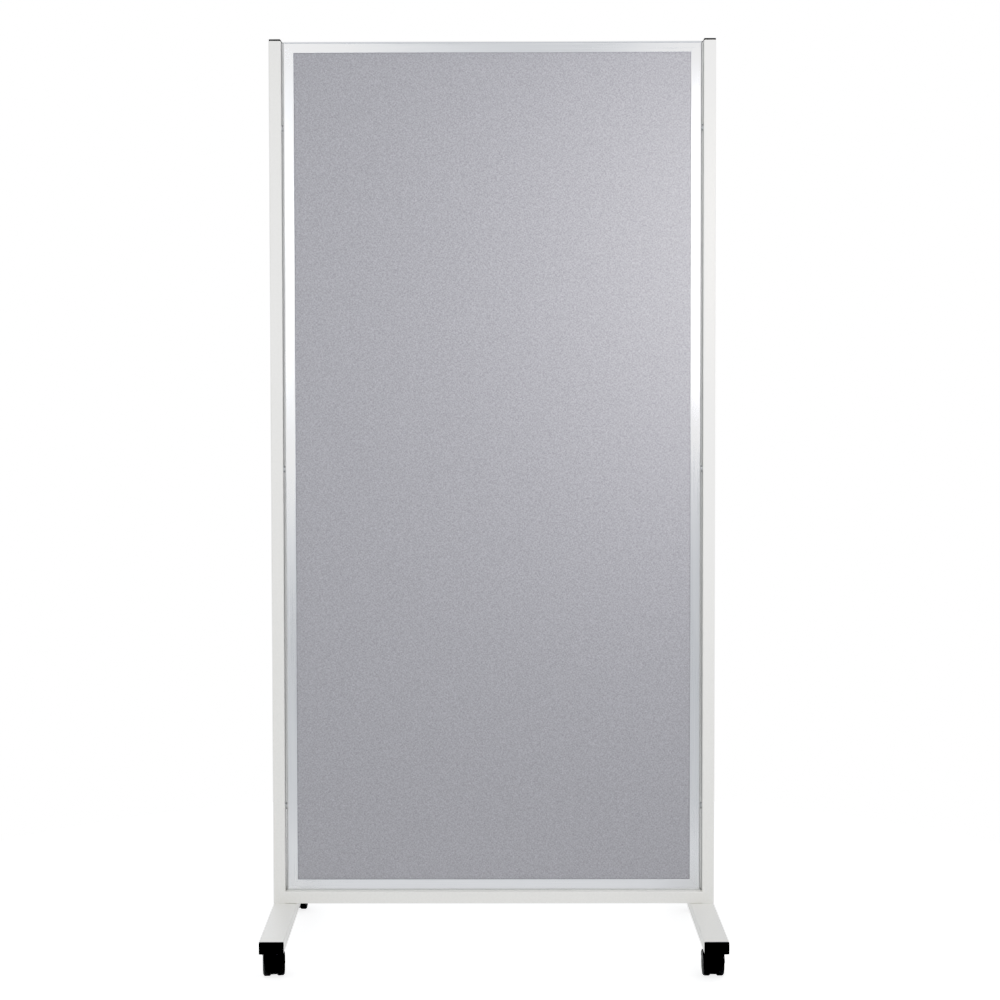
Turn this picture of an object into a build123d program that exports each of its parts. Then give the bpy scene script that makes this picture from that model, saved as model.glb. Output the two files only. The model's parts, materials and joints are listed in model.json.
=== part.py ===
from build123d import *

import os
from math import cos, radians, sin

# Mobile display partition: a fabric-faced pinboard panel in a mitred aluminium frame, held between
# two steel uprights that stand on two feet with four twin-wheel castors.
# Millimetres. X runs across the panel, -Y is the front, +Z is up.
# The origin is on the floor, under the middle of the stand.

# --- Driving dimensions ---------------------------------------------------------------------------

# panel
PANEL_WIDTH = 882.0
PANEL_HEIGHT = 1800.0
PANEL_DEPTH = 25.0
FACE_WIDTH = 23.0
EDGE_RADIUS = 4.5
LIP_WALL = 1.5
LIP_TIP_CHAMFER = 0.5
OUTER_WEB = 2.0
CHAMBER_DEPTH = 10.0
INNER_WEB = 1.5
CHAMBER_SIDE = 16.4
CHAMBER_BEVEL = 3.5
FABRIC_THICKNESS = 0.8
SOFTBOARD_THICKNESS = 7.2
BOARD_PLAY = 0.5

# corner joints of the panel frame
KEY_PLAY = 0.2
KEY_DEPTH = 16.0
KEY_LEG = 40.0
CORNER_SCREW_OFFSET = 27.0
CORNER_SCREW_RADIUS = 2.0
CORNER_SCREW_LENGTH = 10.0
CORNER_HEAD_RADIUS = 3.8
CORNER_HEAD_DEPTH = 1.8
CORNER_SOCKET_FLATS = 2.5
CORNER_SOCKET_DEPTH = 1.2

# stand
SIDE_GAP = 3.0
TUBE_LONG = 50.0
TUBE_SHORT = 25.0
TUBE_WALL = 1.5
TUBE_CORNER = 2.5
FOOT_LENGTH = 660.0

# caps in the tube ends
CAP_THICKNESS = 4.0
CAP_EDGE = 0.8
PLUG_DEPTH = 15.0
PLUG_PLAY = 0.15
PLUG_WALL = 2.0
PLUG_CORNER = 1.5

# fixings between panel and uprights, three a side
FIXING_HEIGHTS = (0.1, 0.5, 0.9)
PANEL_SCREW_RADIUS = 2.5
PANEL_SCREW_REACH = 13.0
PANEL_HEAD_RADIUS = 4.75
PANEL_HEAD_HEIGHT = 3.2
PANEL_SOCKET_FLATS = 3.0
PANEL_SOCKET_DEPTH = 1.8
SCREW_CLEARANCE = 0.3
SPACER_RADIUS = 7.0
NUT_PLATE = 9.0
NUT_PLATE_THICKNESS = 4.0
ACCESS_RADIUS = 6.0
PLUG_HEAD_RADIUS = 8.0
PLUG_HEAD_HEIGHT = 1.0
PLUG_STEM_DEPTH = 5.0

# rest pads between rail and panel
PAD_LENGTH = 60.0
PAD_WIDTH = 16.0
PAD_HEIGHT = 1.0
PAD_SPACING = 600.0

# castors
CASTOR_HEIGHT = 65.0
CASTOR_INSET = 62.0
WHEEL_RADIUS = 25.0
WHEEL_INNER = 7.0
WHEEL_OUTER = 22.0
TRAIL = 18.0
WEB_HALF = 6.7
HOOD_INNER_RADIUS = 26.5
HOOD_OUTER_RADIUS = 28.5
HOOD_DISC_RADIUS = 22.5
HOOD_START = 20.0
HOOD_END = 165.0
NECK_RADIUS = 10.0
NECK_BOTTOM = 44.0
BOSS_HALF = 8.0
BOSS_BOTTOM = 27.0
COLLAR_RADIUS = 10.0
COLLAR_HEIGHT = 2.0
BEARING_HEIGHT = 1.0
SWIVEL_CLEARANCE = 0.3
PIN_RADIUS = 4.0
PIN_PLAY = 0.05
PIN_BOTTOM = 31.0
PIN_END_PLAY = 0.5
THREAD_RADIUS = 5.0
CASTOR_NUT_FLATS = 17.0
CASTOR_NUT_HEIGHT = 8.0
CASTOR_WASHER_RADIUS = 11.0
CASTOR_WASHER_HEIGHT = 2.0
THREAD_TAIL = 2.0
THREAD_CHAMFER = 1.0
AXLE_RADIUS = 2.5
AXLE_HALF = 18.4
AXLE_END_PLAY = 0.2

# wheel section, from the middle plane outwards
RIM_THICKNESS = 3.6
WHEEL_DISC = 4.0
HUB_RADIUS = 5.5
HUB_CAP_RADIUS = 7.0
RIM_RING = 4.0
DISH_DEPTH = 1.0
TREAD_ROUND_INNER = 1.8
TREAD_ROUND_OUTER = 5.0

# brake pedal on the front castors
BRAKE_ANGLE = 38.0
BRAKE_PIVOT_RADIUS = 22.0
BRAKE_PIN_RADIUS = 1.5
PEDAL_HUB_RADIUS = 4.2
PEDAL_HUB_CLEARANCE = 0.8
PEDAL_BLADE_HALF = 2.4
PEDAL_BLADE_FOOT = 3.0
PEDAL_BLADE_TOP = 5.0
PEDAL_SLOT_HALF = 3.0
PEDAL_SLOT_REACH = 16.0
PEDAL_SLOT_ANGLES = (100.0, 22.0)
PEDAL_HALF = 9.0
PEDAL_THICKNESS = 3.0
PEDAL_LENGTH = 19.0
PEDAL_HEIGHT = 24.5
PEDAL_START = 22.0
PEDAL_LIP = 1.0
PEDAL_DROP = 1.5
PEDAL_CORNER = 2.0
OVERCUT = 1.0

# Rest swivel angle of each castor about +Z, with 0 for wheels that trail straight back.
CASTORS = {
    "front_left": (-1, -1, 9.0),
    "front_right": (1, -1, 0.0),
    "rear_left": (-1, 1, 1.0),
    "rear_right": (1, 1, -90.0),
}

# --- Derived places -------------------------------------------------------------------------------

HALF_WIDTH = PANEL_WIDTH / 2 + SIDE_GAP + TUBE_SHORT
UPRIGHT_X = HALF_WIDTH - TUBE_SHORT / 2
UPRIGHT_INNER_X = HALF_WIDTH - TUBE_SHORT
FOOT_X = HALF_WIDTH - TUBE_LONG / 2
FOOT_BOTTOM = CASTOR_HEIGHT
FOOT_TOP = FOOT_BOTTOM + TUBE_SHORT
RAIL_TOP = FOOT_TOP + TUBE_SHORT
PANEL_BOTTOM = RAIL_TOP + PAD_HEIGHT
PANEL_TOP = PANEL_BOTTOM + PANEL_HEIGHT
PANEL_MIDDLE = (PANEL_BOTTOM + PANEL_TOP) / 2
CASTOR_Y = FOOT_LENGTH / 2 - CASTOR_INSET
CAVITY_HALF = PANEL_DEPTH / 2 - LIP_WALL
BOARD_INSET = OUTER_WEB + CHAMBER_DEPTH + INNER_WEB + BOARD_PLAY
SIDES = {"left": -1, "right": 1}
ENDS = {"front": -1, "rear": 1}
CORNERS = [(side, end) for side in (-1, 1) for end in (-1, 1)]

os.makedirs("parts", exist_ok=True)


def save(name, *solids):
    """Writes one named sub-part; several solids stay separate pieces of the same kind."""
    shape = solids[0] if len(solids) == 1 else Compound(children=list(solids))
    export_step(shape, f"parts/{name}.step")


def hexagon(flats):
    return RegularPolygon(radius=flats / 2, side_count=6, major_radius=False)


# --- Stand ----------------------------------------------------------------------------------------


def tube(plane, across, up, length):
    """Rectangular steel tube, centred on the plane and running both ways from it."""
    outer = RectangleRounded(across, up, TUBE_CORNER)
    inner_corner = TUBE_CORNER - TUBE_WALL
    bore = RectangleRounded(across - 2 * TUBE_WALL, up - 2 * TUBE_WALL, inner_corner)
    return extrude(plane * (outer - bore), amount=length / 2, both=True)


def fixing_places(side):
    """Points on the inner face of an upright where a panel screw goes through."""
    for share in FIXING_HEIGHTS:
        yield Pos(side * UPRIGHT_INNER_X, 0, PANEL_BOTTOM + share * PANEL_HEIGHT)


def along_x(side):
    """Turns a shape built along +Z so that it runs outwards along X on the given side."""
    return Rot(0, side * 90, 0)


def make_upright(side):
    length = PANEL_TOP - FOOT_TOP
    upright = Pos(side * UPRIGHT_X, 0, FOOT_TOP + length / 2) * tube(
        Plane.XY, TUBE_SHORT, TUBE_LONG, length
    )
    screw_hole = Cylinder(PANEL_SCREW_RADIUS + SCREW_CLEARANCE, 2 * TUBE_WALL)
    access_hole = Pos(0, 0, TUBE_SHORT) * Cylinder(ACCESS_RADIUS, 4 * TUBE_WALL)
    for place in fixing_places(side):
        upright -= place * along_x(side) * screw_hole
        upright -= place * along_x(side) * access_hole
    return upright


def make_foot(side):
    foot = Pos(side * FOOT_X, 0, FOOT_BOTTOM + TUBE_SHORT / 2) * tube(
        Plane.XZ, TUBE_LONG, TUBE_SHORT, FOOT_LENGTH
    )
    for end in ENDS.values():
        hole = Cylinder(THREAD_RADIUS + SCREW_CLEARANCE, 4 * TUBE_WALL)
        foot -= Pos(side * FOOT_X, end * CASTOR_Y, FOOT_BOTTOM) * hole
    return foot


def end_cap(across, up):
    """Push-in cap: a plate over the tube end and a hollow plug inside it, built along +Z."""
    plate = extrude(RectangleRounded(across, up, TUBE_CORNER), amount=CAP_THICKNESS)
    plate = fillet(plate.edges().group_by(Axis.Z)[-1], CAP_EDGE)
    shrink = 2 * (TUBE_WALL + PLUG_PLAY)
    plug = RectangleRounded(across - shrink, up - shrink, PLUG_CORNER)
    plug -= Rectangle(across - shrink - 2 * PLUG_WALL, up - shrink - 2 * PLUG_WALL)
    return plate + extrude(plug, amount=-PLUG_DEPTH)


for side_name, side in SIDES.items():
    save(f"upright_{side_name}", make_upright(side))
    save(f"foot_{side_name}", make_foot(side))
    top_cap = Pos(side * UPRIGHT_X, 0, PANEL_TOP) * end_cap(TUBE_SHORT, TUBE_LONG)
    save(f"upright_cap_{side_name}", top_cap)
    for end_name, end in ENDS.items():
        place = Pos(side * FOOT_X, end * FOOT_LENGTH / 2, FOOT_BOTTOM + TUBE_SHORT / 2)
        foot_cap = place * Rot(-end * 90, 0, 0) * end_cap(TUBE_LONG, TUBE_SHORT)
        save(f"foot_cap_{end_name}_{side_name}", foot_cap)

rail = tube(Plane.YZ, TUBE_LONG, TUBE_SHORT, 2 * UPRIGHT_INNER_X)
save("bottom_rail", Pos(0, 0, FOOT_TOP + TUBE_SHORT / 2) * rail)

pad = Box(PAD_LENGTH, PAD_WIDTH, PAD_HEIGHT)
save("rest_pads", *[Pos(s * PAD_SPACING / 2, 0, RAIL_TOP + PAD_HEIGHT / 2) * pad for s in (-1, 1)])

# --- Panel frame ----------------------------------------------------------------------------------


def profile_section():
    """Extrusion section: X runs from the outer edge inwards, Y across the panel's depth."""
    outer = Pos(FACE_WIDTH / 2, 0) * Rectangle(FACE_WIDTH, PANEL_DEPTH)
    outer = fillet(outer.vertices().group_by(Axis.X)[0], EDGE_RADIUS)
    outer = chamfer(outer.vertices().group_by(Axis.X)[-1], LIP_TIP_CHAMFER)

    near = OUTER_WEB
    far = OUTER_WEB + CHAMBER_DEPTH
    low = CHAMBER_SIDE / 2
    upper = [(near, low), (near + CHAMBER_BEVEL, CAVITY_HALF), (far, CAVITY_HALF)]
    lower = [(x, -y) for x, y in reversed(upper)]
    chamber = make_face(Polyline(*upper, *lower, close=True))

    channel_start = far + INNER_WEB
    channel_middle = (channel_start + 2 * FACE_WIDTH) / 2
    channel = Rectangle(2 * FACE_WIDTH - channel_start, 2 * CAVITY_HALF)
    return outer - chamber - Pos(channel_middle, 0) * channel


def frame_member(length):
    """One mitred profile, its outer edge on X = 0 and its length along Z, centred on the origin."""
    half = length / 2
    bar = extrude(profile_section(), amount=half, both=True)
    inner_half = half - FACE_WIDTH
    outline = Polyline((0, -half), (FACE_WIDTH, -inner_half), (FACE_WIDTH, inner_half), (0, half), close=True)
    return bar & extrude(make_face(Plane.XZ * outline), amount=PANEL_DEPTH, both=True)


def countersunk_screw():
    """Head flush with Z = 0, shank down along -Z."""
    head = Pos(0, 0, -CORNER_HEAD_DEPTH / 2) * Cone(
        CORNER_SCREW_RADIUS, CORNER_HEAD_RADIUS, CORNER_HEAD_DEPTH
    )
    shank = Pos(0, 0, -CORNER_SCREW_LENGTH / 2) * Cylinder(CORNER_SCREW_RADIUS, CORNER_SCREW_LENGTH)
    return head + shank


def corner_screw_places():
    """Where each corner screw's head sits, with +Z of the place pointing out of the frame."""
    for side, end in CORNERS:
        edge_x = side * PANEL_WIDTH / 2
        edge_z = PANEL_TOP if end > 0 else PANEL_BOTTOM
        yield Pos(edge_x, 0, edge_z - end * CORNER_SCREW_OFFSET) * along_x(side)
        turn = Rot(0, 0, 0) if end > 0 else Rot(180, 0, 0)
        yield Pos(edge_x - side * CORNER_SCREW_OFFSET, 0, edge_z) * turn


def corner_key(side, end):
    """L-shaped key in the chambers of the two profiles that meet at a corner."""
    near = OUTER_WEB + KEY_PLAY
    far = OUTER_WEB + CHAMBER_DEPTH - KEY_PLAY
    outline = [(near, near), (KEY_LEG, near), (KEY_LEG, far), (far, far), (far, KEY_LEG), (near, KEY_LEG)]
    edge_x = side * PANEL_WIDTH / 2
    edge_z = PANEL_TOP if end > 0 else PANEL_BOTTOM
    points = [(edge_x - side * x, edge_z - end * z) for x, z in outline]
    return extrude(make_face(Plane.XZ * Polyline(*points, close=True)), amount=KEY_DEPTH / 2, both=True)


def panel_screw():
    """Pan-head screw at an upright's inner face: head inside the tube, shank into the panel frame."""
    head_start = TUBE_WALL
    head = Pos(0, 0, head_start + PANEL_HEAD_HEIGHT / 2) * Cylinder(PANEL_HEAD_RADIUS, PANEL_HEAD_HEIGHT)
    head = fillet(head.edges().group_by(Axis.Z)[-1], PANEL_HEAD_HEIGHT / 3)
    length = head_start + PANEL_SCREW_REACH
    shank = Pos(0, 0, head_start - length / 2) * Cylinder(PANEL_SCREW_RADIUS, length)
    socket_start = head_start + PANEL_HEAD_HEIGHT - PANEL_SOCKET_DEPTH
    socket = extrude(Pos(0, 0, socket_start) * hexagon(PANEL_SOCKET_FLATS), amount=PANEL_HEAD_HEIGHT)
    return head + shank - socket


def panel_nut():
    """Square nut plate inside the profile's chamber, against its outer web."""
    nut = Box(NUT_PLATE, NUT_PLATE, NUT_PLATE_THICKNESS) - Cylinder(PANEL_SCREW_RADIUS, 2 * NUT_PLATE)
    return Pos(0, 0, -SIDE_GAP - OUTER_WEB - NUT_PLATE_THICKNESS / 2) * nut


def panel_spacer():
    bore = Cylinder(PANEL_SCREW_RADIUS + SCREW_CLEARANCE, 2 * SIDE_GAP)
    return Pos(0, 0, -SIDE_GAP / 2) * (Cylinder(SPACER_RADIUS, SIDE_GAP) - bore)


def access_plug():
    """Domed plug over the hole in the upright's outer wall."""
    head = Pos(0, 0, PLUG_HEAD_HEIGHT / 2) * Cylinder(PLUG_HEAD_RADIUS, PLUG_HEAD_HEIGHT)
    head = fillet(head.edges().group_by(Axis.Z)[-1], 0.8 * PLUG_HEAD_HEIGHT)
    stem = Cylinder(ACCESS_RADIUS, PLUG_STEM_DEPTH) - Cylinder(ACCESS_RADIUS - TUBE_WALL, PLUG_STEM_DEPTH)
    return Pos(0, 0, TUBE_SHORT) * (head + Pos(0, 0, -PLUG_STEM_DEPTH / 2) * stem)


side_member = frame_member(PANEL_HEIGHT)
end_member = frame_member(PANEL_WIDTH)
members = {
    "left": Pos(-PANEL_WIDTH / 2, 0, PANEL_MIDDLE) * side_member,
    "right": Pos(PANEL_WIDTH / 2, 0, PANEL_MIDDLE) * Rot(0, 0, 180) * side_member,
    "top": Pos(0, 0, PANEL_TOP) * Rot(0, 90, 0) * end_member,
    "bottom": Pos(0, 0, PANEL_BOTTOM) * Rot(0, -90, 0) * end_member,
}
screw = countersunk_screw()
screws = [place * screw for place in corner_screw_places()]
tapped_hole = Pos(0, 0, -SIDE_GAP - OUTER_WEB) * Cylinder(PANEL_SCREW_RADIUS, CHAMBER_DEPTH)

for name, member in members.items():
    for cutter in screws:
        member -= cutter
    if name in SIDES:
        for place in fixing_places(SIDES[name]):
            member -= place * along_x(SIDES[name]) * tapped_hole
    save(f"frame_{name}", member)

keys = [corner_key(*corner) for corner in CORNERS]
for number, key in enumerate(keys):
    for cutter in screws:
        key -= cutter
    keys[number] = key
save("corner_keys", *keys)

socket = extrude(hexagon(CORNER_SOCKET_FLATS), amount=-CORNER_SOCKET_DEPTH)
save("corner_screws", *[place * (screw - socket) for place in corner_screw_places()])

FIXINGS = {
    "panel_screws": panel_screw(),
    "panel_nuts": panel_nut(),
    "panel_spacers": panel_spacer(),
    "access_plugs": access_plug(),
}
for name, shape in FIXINGS.items():
    pieces = [place * along_x(side) * shape for side in (-1, 1) for place in fixing_places(side)]
    save(name, *pieces)

# --- Panel filling --------------------------------------------------------------------------------

board_width = PANEL_WIDTH - 2 * BOARD_INSET
board_height = PANEL_HEIGHT - 2 * BOARD_INSET
core_depth = 2 * (CAVITY_HALF - FABRIC_THICKNESS - SOFTBOARD_THICKNESS)
save("panel_core", Pos(0, 0, PANEL_MIDDLE) * Box(board_width, core_depth, board_height))

for end_name, end in ENDS.items():
    softboard_y = core_depth / 2 + SOFTBOARD_THICKNESS / 2
    fabric_y = CAVITY_HALF - FABRIC_THICKNESS / 2
    softboard = Box(board_width, SOFTBOARD_THICKNESS, board_height)
    fabric = Box(board_width, FABRIC_THICKNESS, board_height)
    save(f"softboard_{end_name}", Pos(0, end * softboard_y, PANEL_MIDDLE) * softboard)
    save(f"fabric_{end_name}", Pos(0, end * fabric_y, PANEL_MIDDLE) * fabric)

# --- Castors --------------------------------------------------------------------------------------
# Each castor is built with its swivel axis on Z, its wheels trailing towards +Y and the floor at
# Z = 0, and is then turned to its rest angle and moved under its foot.

AXLE = Pos(0, TRAIL, WHEEL_RADIUS)
TO_X = Rot(0, 90, 0)
HOOD_TOP = CASTOR_HEIGHT - COLLAR_HEIGHT - BEARING_HEIGHT - SWIVEL_CLEARANCE


def disc(radius, half_width):
    """Cylinder along X through the axle, centred on the castor's middle plane."""
    return AXLE * TO_X * Cylinder(radius, 2 * half_width)


def side_prism(points, half_width):
    """Outline of (Y, Z) points made solid to both sides of the castor's middle plane."""
    return extrude(make_face(Plane.YZ * Polyline(*points, close=True)), amount=half_width, both=True)


def from_axle(radius, degrees):
    """(Y, Z) of a point at a radius and an angle above the backward horizontal."""
    return (TRAIL + radius * cos(radians(degrees)), WHEEL_RADIUS + radius * sin(radians(degrees)))


BRAKE_PIVOT = from_axle(BRAKE_PIVOT_RADIUS, BRAKE_ANGLE)


def hood_sector(half_width):
    """Slice of the fender between its rear and its front edge."""
    reach = 2 * HOOD_OUTER_RADIUS
    middle = (HOOD_START + HOOD_END) / 2
    angles = (HOOD_START, (HOOD_START + middle) / 2, middle, (HOOD_END + middle) / 2, HOOD_END)
    wedge = side_prism([(TRAIL, WHEEL_RADIUS), *[from_axle(reach, a) for a in angles]], half_width)
    return wedge & disc(HOOD_OUTER_RADIUS, half_width)


def make_hood(has_brake):
    """Fender over both wheels, a web between them, and the neck that turns on the stem."""
    fender = hood_sector(WHEEL_OUTER) - disc(HOOD_INNER_RADIUS, WHEEL_OUTER + OVERCUT)
    fender_ends = fender.faces().sort_by(Axis.X)
    rims = fender_ends[0].edges() + fender_ends[-1].edges()
    fender = fillet(rims.filter_by(GeomType.CIRCLE).sort_by(SortBy.RADIUS)[-2:], CAP_EDGE)
    web = hood_sector(WEB_HALF) + disc(HOOD_DISC_RADIUS, WEB_HALF)
    boss_height = HOOD_TOP - BOSS_BOTTOM
    boss = Pos(0, 0, BOSS_BOTTOM + boss_height / 2) * Box(2 * WEB_HALF, 2 * BOSS_HALF, boss_height)
    neck_height = HOOD_TOP - NECK_BOTTOM
    neck = Pos(0, 0, NECK_BOTTOM + neck_height / 2) * Cylinder(NECK_RADIUS, neck_height)
    neck -= disc(HOOD_INNER_RADIUS, WHEEL_OUTER)
    boss &= Pos(0, 0, BOSS_BOTTOM + boss_height / 2) * Cylinder(NECK_RADIUS, boss_height)
    hood = fender + web + boss + neck
    hole_height = HOOD_TOP + OVERCUT - PIN_BOTTOM
    hood -= Pos(0, 0, PIN_BOTTOM + hole_height / 2) * Cylinder(PIN_RADIUS + PIN_PLAY, hole_height)
    hood -= disc(AXLE_RADIUS, WEB_HALF + OVERCUT)
    if has_brake:
        hood -= pedal_slot()
        hood -= Pos(0, *BRAKE_PIVOT) * TO_X * Cylinder(BRAKE_PIN_RADIUS, 4 * WEB_HALF)
    return hood


def pedal_slot():
    """Room for the pedal's blade through the web and the fender, over the pedal's whole travel."""
    y, z = BRAKE_PIVOT
    reach = PEDAL_SLOT_REACH
    first, last = [radians(angle) for angle in PEDAL_SLOT_ANGLES]
    wedge = [
        (y - PEDAL_HUB_RADIUS, z),
        (y + reach * cos(first), z + reach * sin(first)),
        (y + reach, z + reach),
        (y + reach * cos(last), z + reach * sin(last)),
        (y, z - PEDAL_HUB_RADIUS),
    ]
    hub_room = TO_X * Cylinder(PEDAL_HUB_RADIUS + PEDAL_HUB_CLEARANCE, 2 * PEDAL_SLOT_HALF)
    return side_prism(wedge, PEDAL_SLOT_HALF) + Pos(0, y, z) * hub_room


def make_pedal():
    """Rocking pedal: a hub on the brake pin, a blade through the hood and a plate to step on."""
    y, z = BRAKE_PIVOT
    hub = Pos(0, y, z) * TO_X * Cylinder(PEDAL_HUB_RADIUS, 2 * PEDAL_BLADE_HALF)
    top = WHEEL_RADIUS + PEDAL_HEIGHT
    start = TRAIL + PEDAL_START
    blade_end = start + PEDAL_BLADE_TOP
    blade_outline = [(y - PEDAL_BLADE_FOOT, z), (start, top), (blade_end, top), (y + PEDAL_BLADE_FOOT, z)]
    blade = side_prism(blade_outline, PEDAL_BLADE_HALF)
    heel = start - PEDAL_LIP
    toe = start + PEDAL_LENGTH
    plate_outline = [
        (heel, top - PEDAL_LIP / 2),
        (heel, top + PEDAL_THICKNESS),
        (toe, top + PEDAL_THICKNESS - PEDAL_DROP),
        (toe, top - PEDAL_DROP),
        (blade_end, top - PEDAL_LIP / 2),
    ]
    plate = side_prism(plate_outline, PEDAL_HALF)
    plate = fillet(plate.edges().filter_by(Axis.Z), PEDAL_CORNER)
    hole = Pos(0, y, z) * TO_X * Cylinder(BRAKE_PIN_RADIUS + PIN_PLAY, 4 * PEDAL_BLADE_HALF)
    return hub + blade + plate - hole


def wheel_section():
    """Half section of the +X wheel: X is the distance from the middle plane, Y the radius."""
    bore_end = AXLE_HALF + AXLE_END_PLAY
    disc_start = WHEEL_OUTER - DISH_DEPTH - WHEEL_DISC
    rim_inside = WHEEL_RADIUS - RIM_THICKNESS
    dish_x = WHEEL_OUTER - DISH_DEPTH
    dish_radius = WHEEL_RADIUS - TREAD_ROUND_OUTER - RIM_RING
    bore = AXLE_RADIUS + PIN_PLAY
    inner_round = (WHEEL_INNER + TREAD_ROUND_INNER, WHEEL_RADIUS)
    outer_round = (WHEEL_OUTER - TREAD_ROUND_OUTER, WHEEL_RADIUS)
    inside = Polyline(
        (WHEEL_OUTER, 0),
        (bore_end, 0),
        (bore_end, bore),
        (WHEEL_INNER, bore),
        (WHEEL_INNER, HUB_RADIUS),
        (disc_start, HUB_RADIUS),
        (disc_start, rim_inside),
        (WHEEL_INNER, rim_inside),
        (WHEEL_INNER, WHEEL_RADIUS - TREAD_ROUND_INNER),
    )
    inner_arc = TangentArc(inside @ 1, inner_round, tangent=(0, 1))
    tread = Line(inner_round, outer_round)
    outer_arc = TangentArc(outer_round, (WHEEL_OUTER, WHEEL_RADIUS - TREAD_ROUND_OUTER), tangent=(1, 0))
    face = Polyline(
        (WHEEL_OUTER, WHEEL_RADIUS - TREAD_ROUND_OUTER),
        (WHEEL_OUTER, dish_radius + DISH_DEPTH),
        (dish_x, dish_radius),
        (dish_x, HUB_CAP_RADIUS + DISH_DEPTH),
        (WHEEL_OUTER, HUB_CAP_RADIUS),
        (WHEEL_OUTER, 0),
    )
    return make_face(inside + inner_arc + tread + outer_arc + face)


def make_stem():
    """Fixed stem: thread up into the foot, collar under it and the plain pin that the hood turns on."""
    washer_and_nut = CASTOR_WASHER_HEIGHT + CASTOR_NUT_HEIGHT
    thread_top = CASTOR_HEIGHT + TUBE_WALL + washer_and_nut + THREAD_TAIL
    collar_bottom = CASTOR_HEIGHT - COLLAR_HEIGHT
    thread_height = thread_top - collar_bottom
    thread = Pos(0, 0, collar_bottom + thread_height / 2) * Cylinder(THREAD_RADIUS, thread_height)
    thread = chamfer(thread.edges().group_by(Axis.Z)[-1], THREAD_CHAMFER)
    collar = Pos(0, 0, collar_bottom + COLLAR_HEIGHT / 2) * Cylinder(COLLAR_RADIUS, COLLAR_HEIGHT)
    pin_height = collar_bottom - PIN_BOTTOM - PIN_END_PLAY
    pin = Pos(0, 0, collar_bottom - pin_height / 2) * Cylinder(PIN_RADIUS, pin_height)
    return thread + collar + pin


def ring(outer, inner, height, bottom):
    return Pos(0, 0, bottom + height / 2) * (Cylinder(outer, height) - Cylinder(inner, 2 * height))


def castor_nut(bottom):
    nut = extrude(hexagon(CASTOR_NUT_FLATS), amount=CASTOR_NUT_HEIGHT)
    return Pos(0, 0, bottom) * (nut - Cylinder(THREAD_RADIUS, 4 * CASTOR_NUT_HEIGHT))


stem = make_stem()
wheel = AXLE * revolve(Plane.XY * wheel_section(), Axis.X)
axle = disc(AXLE_RADIUS, AXLE_HALF)
hoods = {True: make_hood(True), False: make_hood(False)}
pedal = make_pedal()
brake_pin = Pos(0, *BRAKE_PIVOT) * TO_X * Cylinder(BRAKE_PIN_RADIUS, 2 * WEB_HALF)
washer_bottom = CASTOR_HEIGHT + TUBE_WALL
washer = ring(CASTOR_WASHER_RADIUS, THREAD_RADIUS + SCREW_CLEARANCE, CASTOR_WASHER_HEIGHT, washer_bottom)
nut = castor_nut(washer_bottom + CASTOR_WASHER_HEIGHT)
bearing_bottom = CASTOR_HEIGHT - COLLAR_HEIGHT - BEARING_HEIGHT
bearing = ring(NECK_RADIUS, PIN_RADIUS + SCREW_CLEARANCE, BEARING_HEIGHT, bearing_bottom)

under_feet = []
for name, (side, end, swivel) in CASTORS.items():
    place = Pos(side * FOOT_X, end * CASTOR_Y, 0)
    under_feet.append(place)
    turned = place * Rot(0, 0, swivel)
    has_brake = end < 0
    save(f"{name}_stem", place * stem)
    save(f"{name}_hood", turned * hoods[has_brake])
    save(f"{name}_axle", turned * axle)
    save(f"{name}_wheel_a", turned * wheel)
    save(f"{name}_wheel_b", turned * mirror(wheel, Plane.YZ))
    if has_brake:
        save(f"{name}_brake_pedal", turned * pedal)
        save(f"{name}_brake_pin", turned * brake_pin)

save("castor_washers", *[place * washer for place in under_feet])
save("castor_nuts", *[place * nut for place in under_feet])
save("swivel_bearings", *[place * bearing for place in under_feet])
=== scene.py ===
import json
from math import cos, pi, radians, sin, tau

import bmesh
import bpy
from mathutils import Matrix, Vector, noise


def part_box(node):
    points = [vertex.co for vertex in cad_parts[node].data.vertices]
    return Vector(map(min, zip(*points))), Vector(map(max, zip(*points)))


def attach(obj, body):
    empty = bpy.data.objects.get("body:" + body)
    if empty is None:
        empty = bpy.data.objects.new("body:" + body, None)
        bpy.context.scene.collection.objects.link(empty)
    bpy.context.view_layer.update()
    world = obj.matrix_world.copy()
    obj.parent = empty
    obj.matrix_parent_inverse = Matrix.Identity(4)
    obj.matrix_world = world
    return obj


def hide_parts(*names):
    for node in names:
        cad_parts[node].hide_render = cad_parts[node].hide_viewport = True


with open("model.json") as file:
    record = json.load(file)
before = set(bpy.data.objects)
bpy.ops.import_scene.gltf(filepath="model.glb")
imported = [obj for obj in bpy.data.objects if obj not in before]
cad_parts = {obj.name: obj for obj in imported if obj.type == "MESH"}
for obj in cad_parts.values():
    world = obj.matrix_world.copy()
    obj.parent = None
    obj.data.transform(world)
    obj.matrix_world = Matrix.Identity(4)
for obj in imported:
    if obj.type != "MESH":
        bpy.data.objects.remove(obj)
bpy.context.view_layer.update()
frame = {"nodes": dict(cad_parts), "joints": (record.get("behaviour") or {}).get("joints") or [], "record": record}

# Mobile display partition: fabric pinboard in an aluminium frame, on a white steel stand with castors.
# Metres. X runs across the panel, -Y is the front, Z is up, and the floor is at Z = 0.

MM = 0.001
SIDES = {"left": -1, "right": 1}
ENDS = {"front": -1, "rear": 1}
TUBE_CORNER = 2.5 * MM


# --- Material helpers -----------------------------------------------------------------------------


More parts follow.
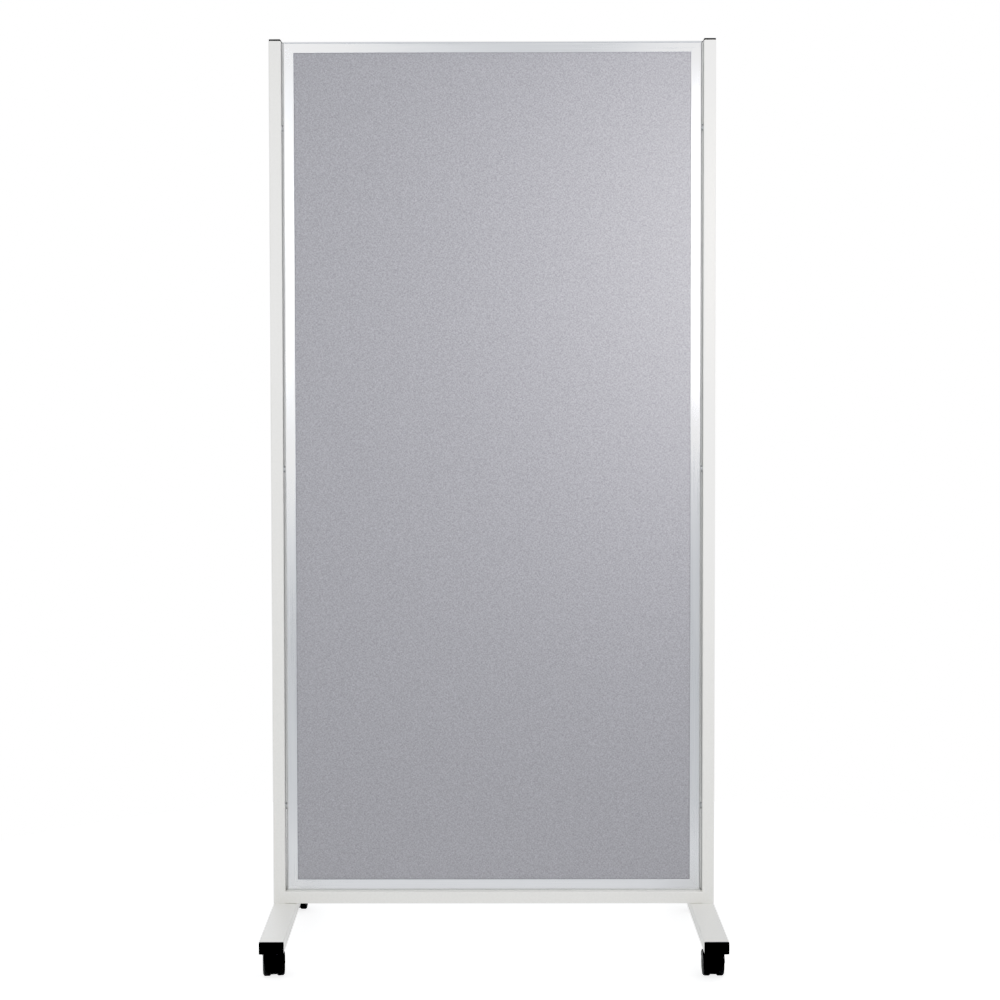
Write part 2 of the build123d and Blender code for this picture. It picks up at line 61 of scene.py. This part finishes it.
class Finish:
    """A procedural material: one Principled shader and the patterns that feed it."""

    def __init__(self, name, **constants):
        self.material = bpy.data.materials.new(name)
        self.material.use_nodes = True
        self.tree = self.material.node_tree
        self.shader = self.tree.nodes["Principled BSDF"]
        self.place = self.node("TexCoord").outputs["Object"]
        self.normal = None
        for socket, value in constants.items():
            self.shader.inputs[socket.replace("_", " ")].default_value = value

    def node(self, kind, inputs=(), **settings):
        """Adds a node; inputs are (socket, value or output) pairs."""
        made = self.tree.nodes.new("ShaderNode" + kind)
        for name, value in settings.items():
            setattr(made, name, value)
        for socket, value in inputs:
            if isinstance(value, bpy.types.NodeSocket):
                self.tree.links.new(value, made.inputs[socket])
            else:
                made.inputs[socket].default_value = value
        return made

    def stretched(self, factors):
        """The object's coordinates, scaled by its own factor along each axis."""
        return self.node("Mapping", [("Vector", self.place), ("Scale", factors)]).outputs["Vector"]

    def grain(self, size, detail=2.0, along=(1, 1, 1)):
        """Noise from 0 to 1 with features of about this size, longer along an axis by that factor."""
        where = self.stretched([1 / factor for factor in along])
        inputs = [("Vector", where), ("Scale", 1 / size), ("Detail", detail)]
        return self.node("TexNoise", inputs).outputs["Fac"]

    def between(self, pattern, low, high, start=0.3, end=0.7):
        """The pattern's range from start to end, carried to low to high."""
        given, wanted = [("From Min", start), ("From Max", end)], [("To Min", low), ("To Max", high)]
        return self.node("MapRange", [("Value", pattern), *given, *wanted]).outputs["Result"]

    def colours(self, pattern, first, second, start=0.3, end=0.7):
        """Blends from the first colour to the second as the pattern rises."""
        share = self.between(pattern, 0, 1, start, end)
        mix = self.node("Mix", data_type="RGBA")
        self.tree.links.new(share, mix.inputs["Factor"])
        for socket, colour in zip([s for s in mix.inputs if s.type == "RGBA"], (first, second)):
            if isinstance(colour, bpy.types.NodeSocket):
                self.tree.links.new(colour, socket)
            else:
                socket.default_value = (*colour, 1)
        return next(s for s in mix.outputs if s.type == "RGBA")

    def maths(self, operation, first, second):
        return self.node("Math", [(0, first), (1, second)], operation=operation).outputs["Value"]

    def use(self, socket, output):
        self.tree.links.new(output, self.shader.inputs[socket])

    def bump(self, height, depth):
        """Adds relief of this depth, in metres, to the surface."""
        inputs = [("Height", height), ("Distance", depth), ("Strength", 1.0)]
        if self.normal:
            inputs.append(("Normal", self.normal))
        self.normal = self.node("Bump", inputs).outputs["Normal"]
        self.use("Normal", self.normal)


def shade(factor, colour):
    return tuple(factor * channel for channel in colour)


# --- Finishes -------------------------------------------------------------------------------------


def powder_coat():
    """Satin white powder coat on steel, with its soft orange peel."""
    white = (0.83, 0.82, 0.78)
    finish = Finish("white_powder_coat", Roughness=0.38, Coat_Weight=0.15, Coat_Roughness=0.25)
    patches = finish.colours(finish.grain(120 * MM), shade(0.985, white), white)
    peel = finish.grain(5 * MM, detail=1.0)
    finish.use("Base Color", finish.colours(peel, shade(0.965, white), patches, 0.35, 0.6))
    finish.bump(peel, 0.12 * MM)
    finish.bump(finish.grain(0.9 * MM), 0.01 * MM)
    return finish.material


def anodised(name, run):
    """Matt anodised aluminium with faint draw lines; run is the profile's direction."""
    finish = Finish(name, Metallic=1.0)
    length = 400
    along = [length if axis == run else 1 for axis in range(3)]
    lines = finish.grain(0.7 * MM, along=along)
    haze = finish.grain(60 * MM, along=[6 if axis == run else 1 for axis in range(3)])
    finish.use("Base Color", finish.colours(lines, (0.77, 0.78, 0.80), (0.84, 0.85, 0.865)))
    rough = finish.maths("ADD", finish.between(lines, 0.26, 0.32), finish.between(haze, -0.02, 0.03))
    finish.use("Roughness", rough)
    finish.bump(lines, 0.03 * MM)
    return finish.material


def pinboard_fabric():
    """Lilac-grey pinboard cloth: slubby warp and weft threads, heathered with lighter fibres."""
    finish = Finish(
        "grey_fabric", Roughness=0.62, Sheen_Weight=0.12, Sheen_Roughness=0.45, Specular_IOR_Level=0.5
    )
    weft = finish.grain(1.1 * MM, along=(4, 1, 1))
    warp = finish.grain(1.1 * MM, along=(1, 1, 4))
    threads = finish.maths("MULTIPLY", warp, weft)
    heather = finish.grain(2.4 * MM, detail=1.0)
    tone = finish.maths("ADD", threads, finish.maths("MULTIPLY", heather, 0.35))
    dark, light = (0.298, 0.295, 0.314), (0.456, 0.452, 0.481)
    finish.use("Base Color", finish.colours(tone, dark, light, 0.30, 0.58))
    finish.use("Roughness", finish.between(threads, 0.66, 0.56, 0.15, 0.35))
    finish.bump(threads, 0.25 * MM)
    finish.bump(heather, 0.1 * MM)
    return finish.material


def moulded(name, colour, rough, grain=0.5, tint=0.85, shine=0.5):
    """Injection-moulded plastic with a fine spark-eroded grain."""
    finish = Finish(name, Specular_IOR_Level=shine)
    blotches = finish.grain(18 * MM)
    finish.use("Base Color", finish.colours(blotches, shade(tint, colour), colour))
    finish.use("Roughness", finish.between(blotches, rough - 0.04, rough + 0.04))
    finish.bump(finish.grain(grain * MM), 0.02 * MM)
    return finish.material


def rolled_nylon(name, middle, axis):
    """Black castor wheel: smooth sides, and a dull tread with grey scuffs around the axle's axis."""
    finish = Finish(name, Specular_IOR_Level=0.14)
    offset = finish.node("VectorMath", [(0, finish.place), (1, middle)], operation="SUBTRACT")
    cross = finish.node("VectorMath", [(0, offset.outputs["Vector"]), (1, axis)], operation="CROSS_PRODUCT")
    radius = finish.node("VectorMath", [(0, cross.outputs["Vector"])], operation="LENGTH").outputs["Value"]
    tread = finish.between(radius, 0, 1, 23.5 * MM, 24.8 * MM)
    scuffs = finish.between(finish.grain(1.6 * MM, detail=4.0), 0, 1, 0.42, 0.66)
    worn = finish.maths("MULTIPLY", tread, scuffs)
    finish.use("Base Color", finish.colours(worn, (0.004, 0.004, 0.0045), (0.014, 0.0135, 0.013), 0, 1))
    finish.use("Roughness", finish.between(tread, 0.36, 0.62, 0, 1))
    finish.bump(finish.grain(0.6 * MM), 0.02 * MM)
    return finish.material


def zinc_plate():
    """Bright zinc plating on small steel parts, slightly clouded."""
    finish = Finish("zinc_steel", Metallic=1.0)
    clouds = finish.grain(4 * MM, detail=3.0)
    finish.use("Base Color", finish.colours(clouds, (0.56, 0.58, 0.60), (0.68, 0.69, 0.70)))
    finish.use("Roughness", finish.between(clouds, 0.28, 0.42))
    finish.bump(finish.grain(0.5 * MM), 0.01 * MM)
    return finish.material


def sawn_aluminium():
    """Mill-finish corner keys with cutting marks across them."""
    finish = Finish("key_aluminium", Metallic=1.0)
    marks = finish.grain(0.6 * MM, along=(1, 30, 1))
    finish.use("Base Color", finish.colours(marks, (0.55, 0.56, 0.57), (0.68, 0.69, 0.70)))
    finish.use("Roughness", finish.between(marks, 0.38, 0.52))
    finish.bump(marks, 0.03 * MM)
    return finish.material


def pressed_fibre(name, dark, light, size):
    """Fibre board or paper, flecked at the size of its fibres."""
    finish = Finish(name)
    flecks = finish.grain(size, detail=5.0, along=(3, 1, 2))
    finish.use("Base Color", finish.colours(flecks, dark, light))
    finish.use("Roughness", finish.between(flecks, 0.85, 0.95))
    finish.bump(flecks, 0.2 * MM)
    return finish.material


def paint_nodes():
    """Gives every CAD node its finish, by the slot that the record names for it."""
    finishes = {
        "white_powder_coat": powder_coat(),
        "grey_fabric": pinboard_fabric(),
        "key_aluminium": sawn_aluminium(),
        "zinc_steel": zinc_plate(),
        "softboard": pressed_fibre("softboard", (0.30, 0.21, 0.13), (0.44, 0.34, 0.22), 1.5 * MM),
        "paper_core": pressed_fibre("paper_core", (0.42, 0.32, 0.21), (0.55, 0.44, 0.30), 3 * MM),
        "cap_plastic": moulded("cap_plastic", (0.004, 0.004, 0.0045), 0.50, shine=0.12),
        "castor_plastic": moulded("castor_plastic", (0.004, 0.004, 0.0045), 0.42, shine=0.14),
        "white_plastic": moulded("white_plastic", (0.74, 0.745, 0.72), 0.42, tint=0.97),
    }
    profiles = [anodised("anodised_level", run=0), None, anodised("anodised_upright", run=2)]
    spins = {joint["child"]: joint for joint in frame["joints"] if joint["child"].endswith(("_a", "_b"))}
    for part in frame["record"]["subparts"]:
        name, slot = part["node"], part["material_slot"]
        if slot == "anodised_aluminium":
            finish = profiles[2 if name.endswith(tuple(SIDES)) else 0]
        elif slot == "wheel_nylon":
            finish = rolled_nylon(f"nylon_{name}", spins[name]["pos_m"], spins[name]["axis"])
        else:
            finish = finishes[slot]
        mesh = frame["nodes"][name].data
        mesh.materials.clear()
        mesh.materials.append(finish)
    return finishes


# --- Pieces ---------------------------------------------------------------------------------------


def skin(shape, rings):
    """Closes a tube over rings of vertices, with a face at each end."""
    for first, second in zip(rings, rings[1:]):
        for corner in range(len(first)):
            after = (corner + 1) % len(first)
            shape.faces.new([first[corner], first[after], second[after], second[corner]])
    shape.faces.new(rings[0])
    shape.faces.new(rings[-1])
    bmesh.ops.recalc_face_normals(shape, faces=shape.faces)


def as_mesh(name, shape):
    mesh = bpy.data.meshes.new(name)
    shape.to_mesh(mesh)
    shape.free()
    return mesh


def piece(name, mesh, body, finish):
    """Links a new mesh as a piece that rides on a body."""
    mesh.materials.append(finish)
    made = bpy.data.objects.new(name, mesh)
    bpy.context.scene.collection.objects.link(made)
    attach(made, body)
    return made


def smooth(mesh):
    for face in mesh.polygons:
        face.use_smooth = True


def fabric_sheet(end_name, finish):
    """Cloth glued over a softboard: almost flat, with a faint random slack across it."""
    node = f"fabric_{end_name}"
    low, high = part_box(node)
    facing = ENDS[end_name]
    front = low.y if facing < 0 else high.y
    thickness = 0.5 * MM
    slack = 0.12 * MM
    columns, rows = 60, 124
    shape = bmesh.new()
    grid = []
    for row in range(rows + 1):
        z = low.z + (high.z - low.z) * row / rows
        line = []
        for column in range(columns + 1):
            x = low.x + (high.x - low.x) * column / columns
            ripple = noise.noise(Vector((x / 0.16, facing * 3.0, z / 0.22)))
            depth = slack * (0.5 + 0.5 * ripple)
            line.append(shape.verts.new((x, front - facing * depth, z)))
        grid.append(line)
    for lower, upper in zip(grid, grid[1:]):
        for column in range(columns):
            corners = [lower[column], lower[column + 1], upper[column + 1], upper[column]]
            shape.faces.new(corners if facing < 0 else corners[::-1])
    name = f"cloth_{end_name}"
    mesh = as_mesh(name, shape)
    smooth(mesh)
    cloth = piece(name, mesh, "stand", finish)
    solid = cloth.modifiers.new("thickness", "SOLIDIFY")
    solid.thickness = thickness
    solid.offset = -1
    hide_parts(node)


def weld_bead(name, start, end, radius, finish):
    """Painted weld run from start to end, with the ripples that the torch leaves."""
    start, end = Vector(start), Vector(end)
    run = end - start
    forward = run.normalized()
    side = forward.orthogonal().normalized()
    up = forward.cross(side)
    ripple = 1.7 * MM
    around = 14
    steps = max(8, round(6 * run.length / ripple))
    shape = bmesh.new()
    rings = []
    for step in range(steps + 1):
        share = step / steps
        place = start + run * share
        wave = 0.06 * sin(tau * share * run.length / ripple)
        wander = 0.10 * noise.noise(place * 220)
        taper = min(1.0, 0.35 + 5 * share, 0.35 + 5 * (1 - share))
        size = radius * (1 + wave + wander) * taper
        turns = [tau * corner / around for corner in range(around)]
        rings.append([shape.verts.new(place + size * (cos(t) * side + sin(t) * up)) for t in turns])
    skin(shape, rings)
    mesh = as_mesh(name, shape)
    smooth(mesh)
    piece(name, mesh, "stand", finish)


def flush_weld(name, edge_x, side, end, rail, finish):
    """Weld in the groove beside the upright's rounded corner, ground flush with the rail."""
    low, high = rail
    middle = (low.z + high.z) / 2
    straight = (high.z - low.z) / 2 - TUBE_CORNER
    centre_y = high.y - TUBE_CORNER
    tilts = [radians(angle) for angle in range(-80, 81, 10)]
    steps = 6
    shape = bmesh.new()
    rings = []
    for tilt in tilts:
        z = middle + TUBE_CORNER * sin(tilt) + (straight if tilt > 0 else -straight)
        ring = [shape.verts.new((edge_x, end * (centre_y + TUBE_CORNER * cos(tilt)), z))]
        for step in range(steps + 1):
            turn = (pi / 2 - abs(tilt)) * (1 - step / steps)
            x = edge_x + side * TUBE_CORNER * (1 - cos(turn))
            ring.append(shape.verts.new((x, end * (centre_y + TUBE_CORNER * sin(turn)), z)))
        rings.append(ring)
    skin(shape, rings)
    piece(name, as_mesh(name, shape), "stand", finish)


def welds(finish):
    """Runs between each foot and what stands on it, and between each upright and the rail."""
    bead, rear_bead = 1.5 * MM, 1.8 * MM
    inset, proud = 3 * MM, 0.3 * MM
    for side_name, side in SIDES.items():
        foot_low, foot_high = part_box(f"foot_{side_name}")
        post_low, post_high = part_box(f"upright_{side_name}")
        outer, inner = (foot_high.x, foot_low.x) if side > 0 else (foot_low.x, foot_high.x)
        top = foot_high.z
        reach = post_high.y - inset
        runs = {
            "outer": (outer - side * 1.6 * MM, top - 0.4 * MM),
            "rail": (inner + side * 0.6 * MM, top - 0.9 * MM),
        }
        for name, (x, z) in runs.items():
            weld_bead(f"weld_{name}_{side_name}", (x, -reach, z), (x, reach, z), bead, finish)
        back, height = post_high.y + proud, top + proud
        ends = [(x, back, height) for x in (post_low.x + inset, post_high.x - inset)]
        weld_bead(f"weld_rear_{side_name}", *ends, rear_bead, finish)
        edge_x = post_low.x if side > 0 else post_high.x
        for end_name, end in ENDS.items():
            name = f"weld_{end_name}_{side_name}_rail"
            flush_weld(name, edge_x, side, end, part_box("bottom_rail"), finish)


def sealant(end_name, finish):
    """Pale sealant in the groove under the panel, from the frame's rounded edge down to the rail."""
    facing = ENDS[end_name]
    low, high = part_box("frame_bottom")
    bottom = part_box("bottom_rail")[1].z
    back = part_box("rest_pads")[1].y
    front = back + 2.3 * MM
    lip = low.z + 0.64 * MM
    bulges = [0.35, 0.14, 0.04, 0, 0]  # mm, from the rail up to the lip
    columns = 240
    shape = bmesh.new()
    rings = []
    for column in range(columns + 1):
        x = low.x + (high.x - low.x) * column / columns
        wander = 0.08 * MM * noise.noise(Vector((x / 0.012, facing * 5.0, 0)))
        ring = [shape.verts.new((x, facing * back, z)) for z in (low.z, bottom)]
        for row, bulge in enumerate(bulges):
            z = bottom + (lip - bottom) * row / (len(bulges) - 1)
            ring.append(shape.verts.new((x, facing * (front + bulge * MM + wander), z)))
        rings.append(ring)
    skin(shape, rings)
    name = f"sealant_{end_name}"
    piece(name, as_mesh(name, shape), "stand", finish)


# --- Studio ---------------------------------------------------------------------------------------


def camera():
    """The eye is level with the upper half of the panel and a little left of its middle."""
    data = bpy.data.cameras.new("camera")
    data.sensor_width = 36.0
    data.lens = 79.80
    data.shift_x = 0.0243
    data.shift_y = -0.05725
    eye = bpy.data.objects.new("camera", data)
    bpy.context.scene.collection.objects.link(eye)
    yaw, pitch, roll = radians(0.369), radians(2.426), radians(-0.118)
    turn = Matrix.Rotation(yaw, 4, "Z") @ Matrix.Rotation(pi / 2 - pitch, 4, "X")
    place = Matrix.Translation((-0.0061, -4.7000, 1.2705))
    eye.matrix_world = place @ turn @ Matrix.Rotation(roll, 4, "Z")
    bpy.context.scene.camera = eye


def softbox(name, place, target, width, height, watts, tint=(1, 1, 1)):
    data = bpy.data.lights.new(name, "AREA")
    data.shape = "RECTANGLE"
    data.size = width
    data.size_y = height
    data.energy = watts
    data.color = tint
    lamp = bpy.data.objects.new(name, data)
    bpy.context.scene.collection.objects.link(lamp)
    lamp.location = place
    lamp.rotation_mode = "QUATERNION"
    lamp.rotation_quaternion = (Vector(target) - Vector(place)).to_track_quat("-Z", "Y")
    lamp.visible_camera = False


def white_room():
    """White all round for the camera, and dimmer walls and ground for what the object receives."""
    world = bpy.data.worlds.new("white_room")
    bpy.context.scene.world = world
    world.use_nodes = True
    tree = world.node_tree
    seen = tree.nodes["Background"]
    seen.inputs["Color"].default_value = (1, 1, 1, 1)
    seen.inputs["Strength"].default_value = 1.5
    felt = tree.nodes.new("ShaderNodeBackground")
    felt.inputs["Color"].default_value = (0.955, 0.98, 1.01, 1)
    coordinates = tree.nodes.new("ShaderNodeTexCoord")
    height = tree.nodes.new("ShaderNodeSeparateXYZ")
    glow = tree.nodes.new("ShaderNodeValToRGB")
    glow.color_ramp.elements[0].position = 0.0
    glow.color_ramp.elements[0].color = (0.74, 0.74, 0.74, 1)
    walls = ((0.38, 0.74), (0.42, 0.44), (0.46, 0.54), (0.51, 0.58), (0.6, 0.60), (0.85, 0.70))
    for position, level in walls:
        glow.color_ramp.elements.new(position).color = (level, level, level, 1)
    glow.color_ramp.elements[-1].color = (0.80, 0.80, 0.80, 1)
    lift = tree.nodes.new("ShaderNodeMapRange")
    lift.inputs["From Min"].default_value = -1
    tree.links.new(coordinates.outputs["Generated"], height.inputs["Vector"])
    tree.links.new(height.outputs["Z"], lift.inputs["Value"])
    tree.links.new(lift.outputs["Result"], glow.inputs["Fac"])
    tree.links.new(glow.outputs["Color"], felt.inputs["Strength"])
    mix = tree.nodes.new("ShaderNodeMixShader")
    rays = tree.nodes.new("ShaderNodeLightPath")
    tree.links.new(rays.outputs["Is Camera Ray"], mix.inputs["Fac"])
    tree.links.new(felt.outputs["Background"], mix.inputs[1])
    tree.links.new(seen.outputs["Background"], mix.inputs[2])
    tree.links.new(mix.outputs["Shader"], tree.nodes["World Output"].inputs["Surface"])


def floor():
    """Pale round floor under the stand."""
    shape = bmesh.new()
    bmesh.ops.create_circle(shape, cap_ends=True, segments=96, radius=1.6)
    mesh = as_mesh("floor", shape)
    finish = Finish("pale_floor", Roughness=0.9)
    finish.shader.inputs["Emission Color"].default_value = (1, 1, 1, 1)
    seen = finish.node("LightPath").outputs["Is Camera Ray"]
    finish.use("Emission Strength", finish.between(seen, 0.18, 1.0, 0, 1))
    finish.use("Base Color", finish.colours(finish.grain(0.4), (0.80, 0.80, 0.80), (0.82, 0.82, 0.82)))
    mesh.materials.append(finish.material)
    made = bpy.data.objects.new("floor", mesh)
    bpy.context.scene.collection.objects.link(made)


def camera_response():
    """A camera's tone curve: a short toe under the blacks and a soft shoulder under the whites."""
    view = bpy.context.scene.view_settings
    view.view_transform = "Standard"
    view.use_curve_mapping = True
    brightest = 1.5
    view.curve_mapping.white_level = (brightest, brightest, brightest)
    curve = view.curve_mapping.curves[3]
    curve.points[0].location = (0.014 / brightest, 0)
    darks = [(0.05, 0.048), (0.30, 0.30), (0.70, 0.70)]
    shoulder = [(0.85, 0.79), (1.0, 0.83), (1.15, 0.857), (1.3, 0.91)]
    for light, shown in darks + shoulder:
        curve.points.new(light / brightest, shown)
    view.curve_mapping.update()


def studio():
    white_room()
    floor()
    softbox("key", (0.79, -0.87, 1.52), (0.3, 0, 1.32), 0.8, 0.8, 7.8, tint=(1, 0.975, 0.985))
    softbox("fill", (-0.98, -1.6, 1.52), (-0.4, 0, 1.35), 0.85, 0.9, 3.6)
    softbox("strip", (-0.90, -3.2, 1.65), (-0.43, 0, 1.35), 0.55, 1.4, 7.6)
    softbox("back", (-1.2, 2.6, 1.9), (0, 0, 1.0), 1.2, 1.2, 12)
    camera_response()


# --- Scene ----------------------------------------------------------------------------------------

finishes = paint_nodes()
for end_name in ENDS:
    fabric_sheet(end_name, finishes["grey_fabric"])
    sealant(end_name, finishes["white_plastic"])
welds(finishes["white_powder_coat"])
studio()
camera()
